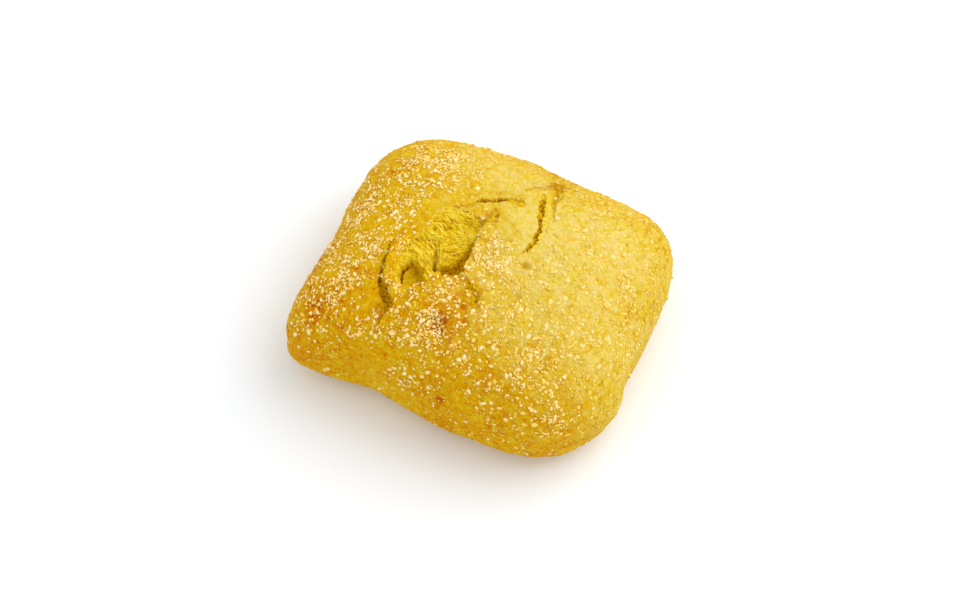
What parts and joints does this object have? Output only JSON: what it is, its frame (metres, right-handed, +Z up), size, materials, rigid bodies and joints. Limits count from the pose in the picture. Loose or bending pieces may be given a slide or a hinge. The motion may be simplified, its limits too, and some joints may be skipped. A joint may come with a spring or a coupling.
{
  "type": "mini ciabatta roll",
  "caption": "Small pillow-shaped bread roll of yellow maize dough, with a torn split across the top, coarse grits baked on the crust and a flat foot.",
  "frame": {"origin": "middle of the roll's outline on the surface that its flat foot rests on", "axes": "+X along the roll's length, +Y across it, +Z up"},
  "size_m": [0.092, 0.0794, 0.0422],
  "materials": {
    "crust": "matt baked crust, golden yellow to amber",
    "crumb": "soft open crumb, bright yellow",
    "grits": "dry coarse grits, cream to pale yellow"
  },
  "bodies": {
    "root": {"ciabatta": "crust"}
  },
  "joints": []
}
